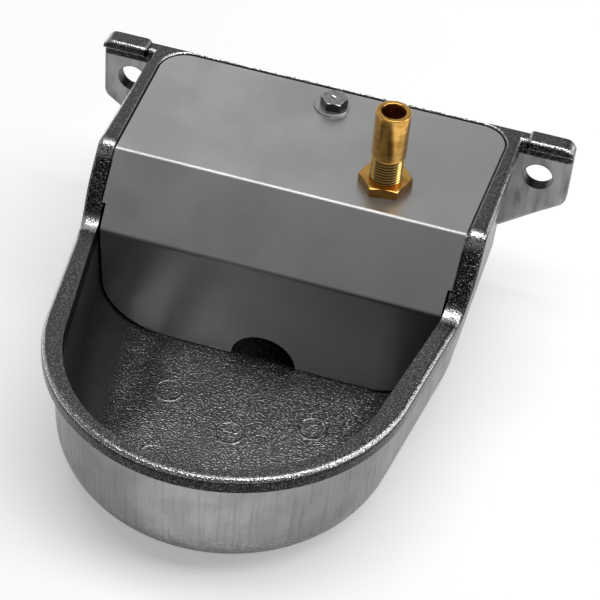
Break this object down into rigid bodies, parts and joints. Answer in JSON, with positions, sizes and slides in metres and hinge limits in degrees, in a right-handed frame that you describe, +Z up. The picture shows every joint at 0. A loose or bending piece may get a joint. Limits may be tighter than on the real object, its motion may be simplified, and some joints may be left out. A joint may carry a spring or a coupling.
{
  "type": "livestock drinking bowl",
  "caption": "Cast wall-hung drinking bowl for livestock, round basin in front of a covered float chamber, with a lever float valve and a brass hose-tail inlet on the lid.",
  "frame": {"origin": "centre of the bounding box's base, on the surface the bowl stands on", "axes": "+Z up, +Y towards the wall behind the ears, +X to the right seen from the basin's front"},
  "size_m": [0.206, 0.2104, 0.1196],
  "materials": {
    "cast_aluminium": "as cast, grainy, polished rim",
    "stainless_sheet": "satin rolled sheet",
    "zinc_steel": "bright zinc plate",
    "stainless_bar": "drawn",
    "turned_brass": "turned, bright",
    "cast_brass": "forged, dull",
    "grey_rubber": "matt",
    "white_plastic": "moulded",
    "float_plastic": "moulded"
  },
  "bodies": {
    "housing": {"bowl": "cast_aluminium", "cover": "stainless_sheet", "cover_bolt": "zinc_steel", "cover_bolt_washer": "stainless_sheet", "inlet_stem": "turned_brass", "lock_nut": "turned_brass", "cover_seal": "grey_rubber", "valve_body": "cast_brass", "stem_seal": "grey_rubber", "valve_seat": "white_plastic", "hinge_pin": "stainless_bar", "split_pin": "stainless_bar"},
    "float_lever": {"float_arm": "stainless_bar", "level_screw": "stainless_bar", "level_nut": "stainless_bar", "float_upper_shell": "float_plastic", "float_lower_shell": "float_plastic", "float_insert": "cast_brass", "float_washer": "stainless_bar", "float_screw": "stainless_bar"},
    "plunger": {"plunger": "white_plastic", "seal_disc": "grey_rubber"}
  },
  "joints": [
    {"name": "lever_hinge", "type": "hinge", "parent": "housing", "child": "float_lever", "pos_m": [0.0438, 0.052, 0.038], "axis": [0, 1, 0], "range_deg": [0, 14]},
    {"name": "plunger_slide", "type": "slide", "parent": "housing", "child": "plunger", "axis": [0, 0, 1], "range_m": [0, 0.00225]}
  ],
  "couplings": [
    {"joint": "plunger_slide", "follows": "lever_hinge", "m_per_rad": 0.009}
  ]
}
